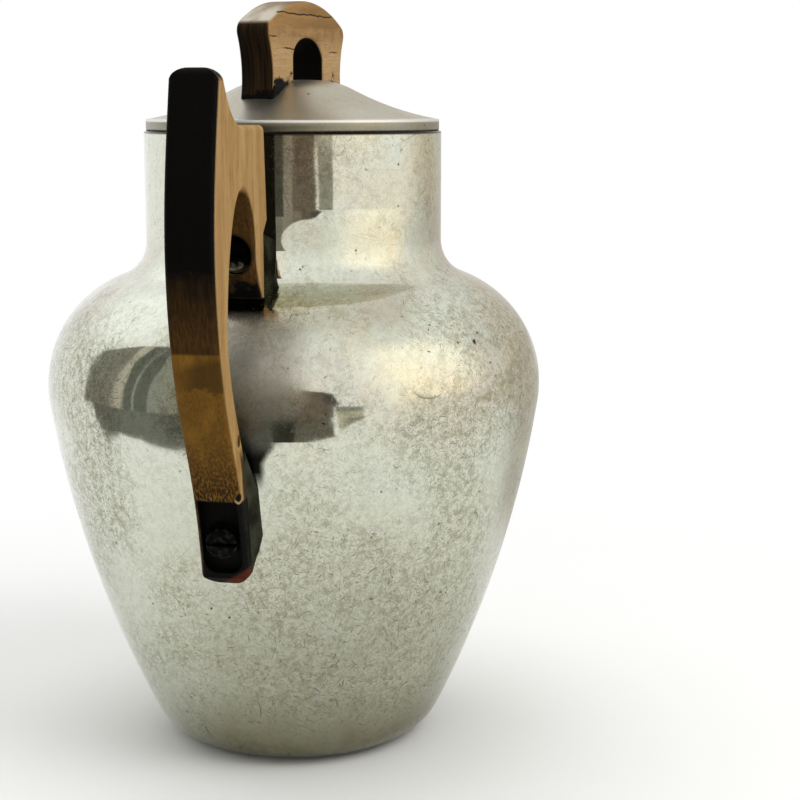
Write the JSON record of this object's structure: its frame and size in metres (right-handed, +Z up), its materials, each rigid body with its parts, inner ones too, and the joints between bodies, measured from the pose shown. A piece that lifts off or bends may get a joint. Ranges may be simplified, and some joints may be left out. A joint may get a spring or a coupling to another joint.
{
  "type": "coffee pot",
  "caption": "Lidded metal coffee pot with a wide belly, a narrow neck, a beak spout, a wooden board handle on two lugs and a loose lid with an arched wooden knob.",
  "frame": {"origin": "middle of the flat base, on the surface the pot stands on", "axes": "+Z up along the pot's axis, handle along -X, spout along +X"},
  "size_m": [0.2058, 0.1752, 0.2619],
  "materials": {
    "polished_aluminium": "polished, finely scratched",
    "satin_aluminium": "satin, worn",
    "cast_aluminium": "dull, as cast",
    "rivet_aluminium": "dull",
    "screw_steel": "dull, tarnished",
    "handle_wood": "worn, darkened by heat on its outer face",
    "knob_wood": "worn, charred at its feet"
  },
  "bodies": {
    "pot": {"pot_shell": "polished_aluminium", "spout": "polished_aluminium", "upper_handle_lug": "cast_aluminium", "upper_lug_rivets": "rivet_aluminium", "lower_handle_lug": "cast_aluminium", "lower_lug_rivets": "rivet_aluminium", "handle": "handle_wood", "upper_handle_screw": "screw_steel", "upper_screw_washer": "screw_steel", "lower_handle_screw": "screw_steel", "lower_screw_washer": "screw_steel"},
    "lid": {"lid_shell": "satin_aluminium", "lid_locating_ring": "satin_aluminium", "lid_knob": "knob_wood", "knob_screws": "screw_steel", "knob_screw_washers": "screw_steel"}
  },
  "joints": [
    {"name": "lid_lift", "type": "slide", "parent": "pot", "child": "lid", "axis": [0, 0, 1], "range_m": [0, 0.07]}
  ]
}
